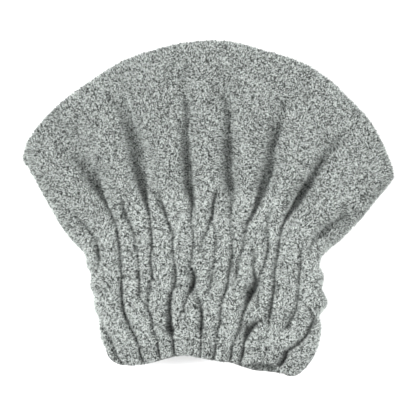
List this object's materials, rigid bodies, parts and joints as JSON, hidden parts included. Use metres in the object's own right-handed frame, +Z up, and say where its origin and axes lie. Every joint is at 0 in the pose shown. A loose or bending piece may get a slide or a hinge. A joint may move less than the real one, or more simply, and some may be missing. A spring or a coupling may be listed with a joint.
{
  "type": "gathered hair turban towel (elasticated plush drying cap, lying flat)",
  "caption": "Soft plush hair-drying cap lying flat: a gathered, elasticated band and hem round the mouth, opening into a loose fan-shaped crown.",
  "frame": {"origin": "on the surface the cap lies on, under the middle of its outline", "axes": "+X across the cap to the wearer's side, +Y from the mouth to the crown, +Z up from the back panel to the front panel"},
  "size_m": [0.28, 0.254, 0.0318],
  "materials": {
    "plush": "short-pile plush in heathered light grey, matt",
    "plush_hem": "the same plush, doubled and pressed flatter"
  },
  "bodies": {
    "root": {"front_panel": "plush", "back_panel": "plush", "hem": "plush_hem"}
  },
  "joints": []
}
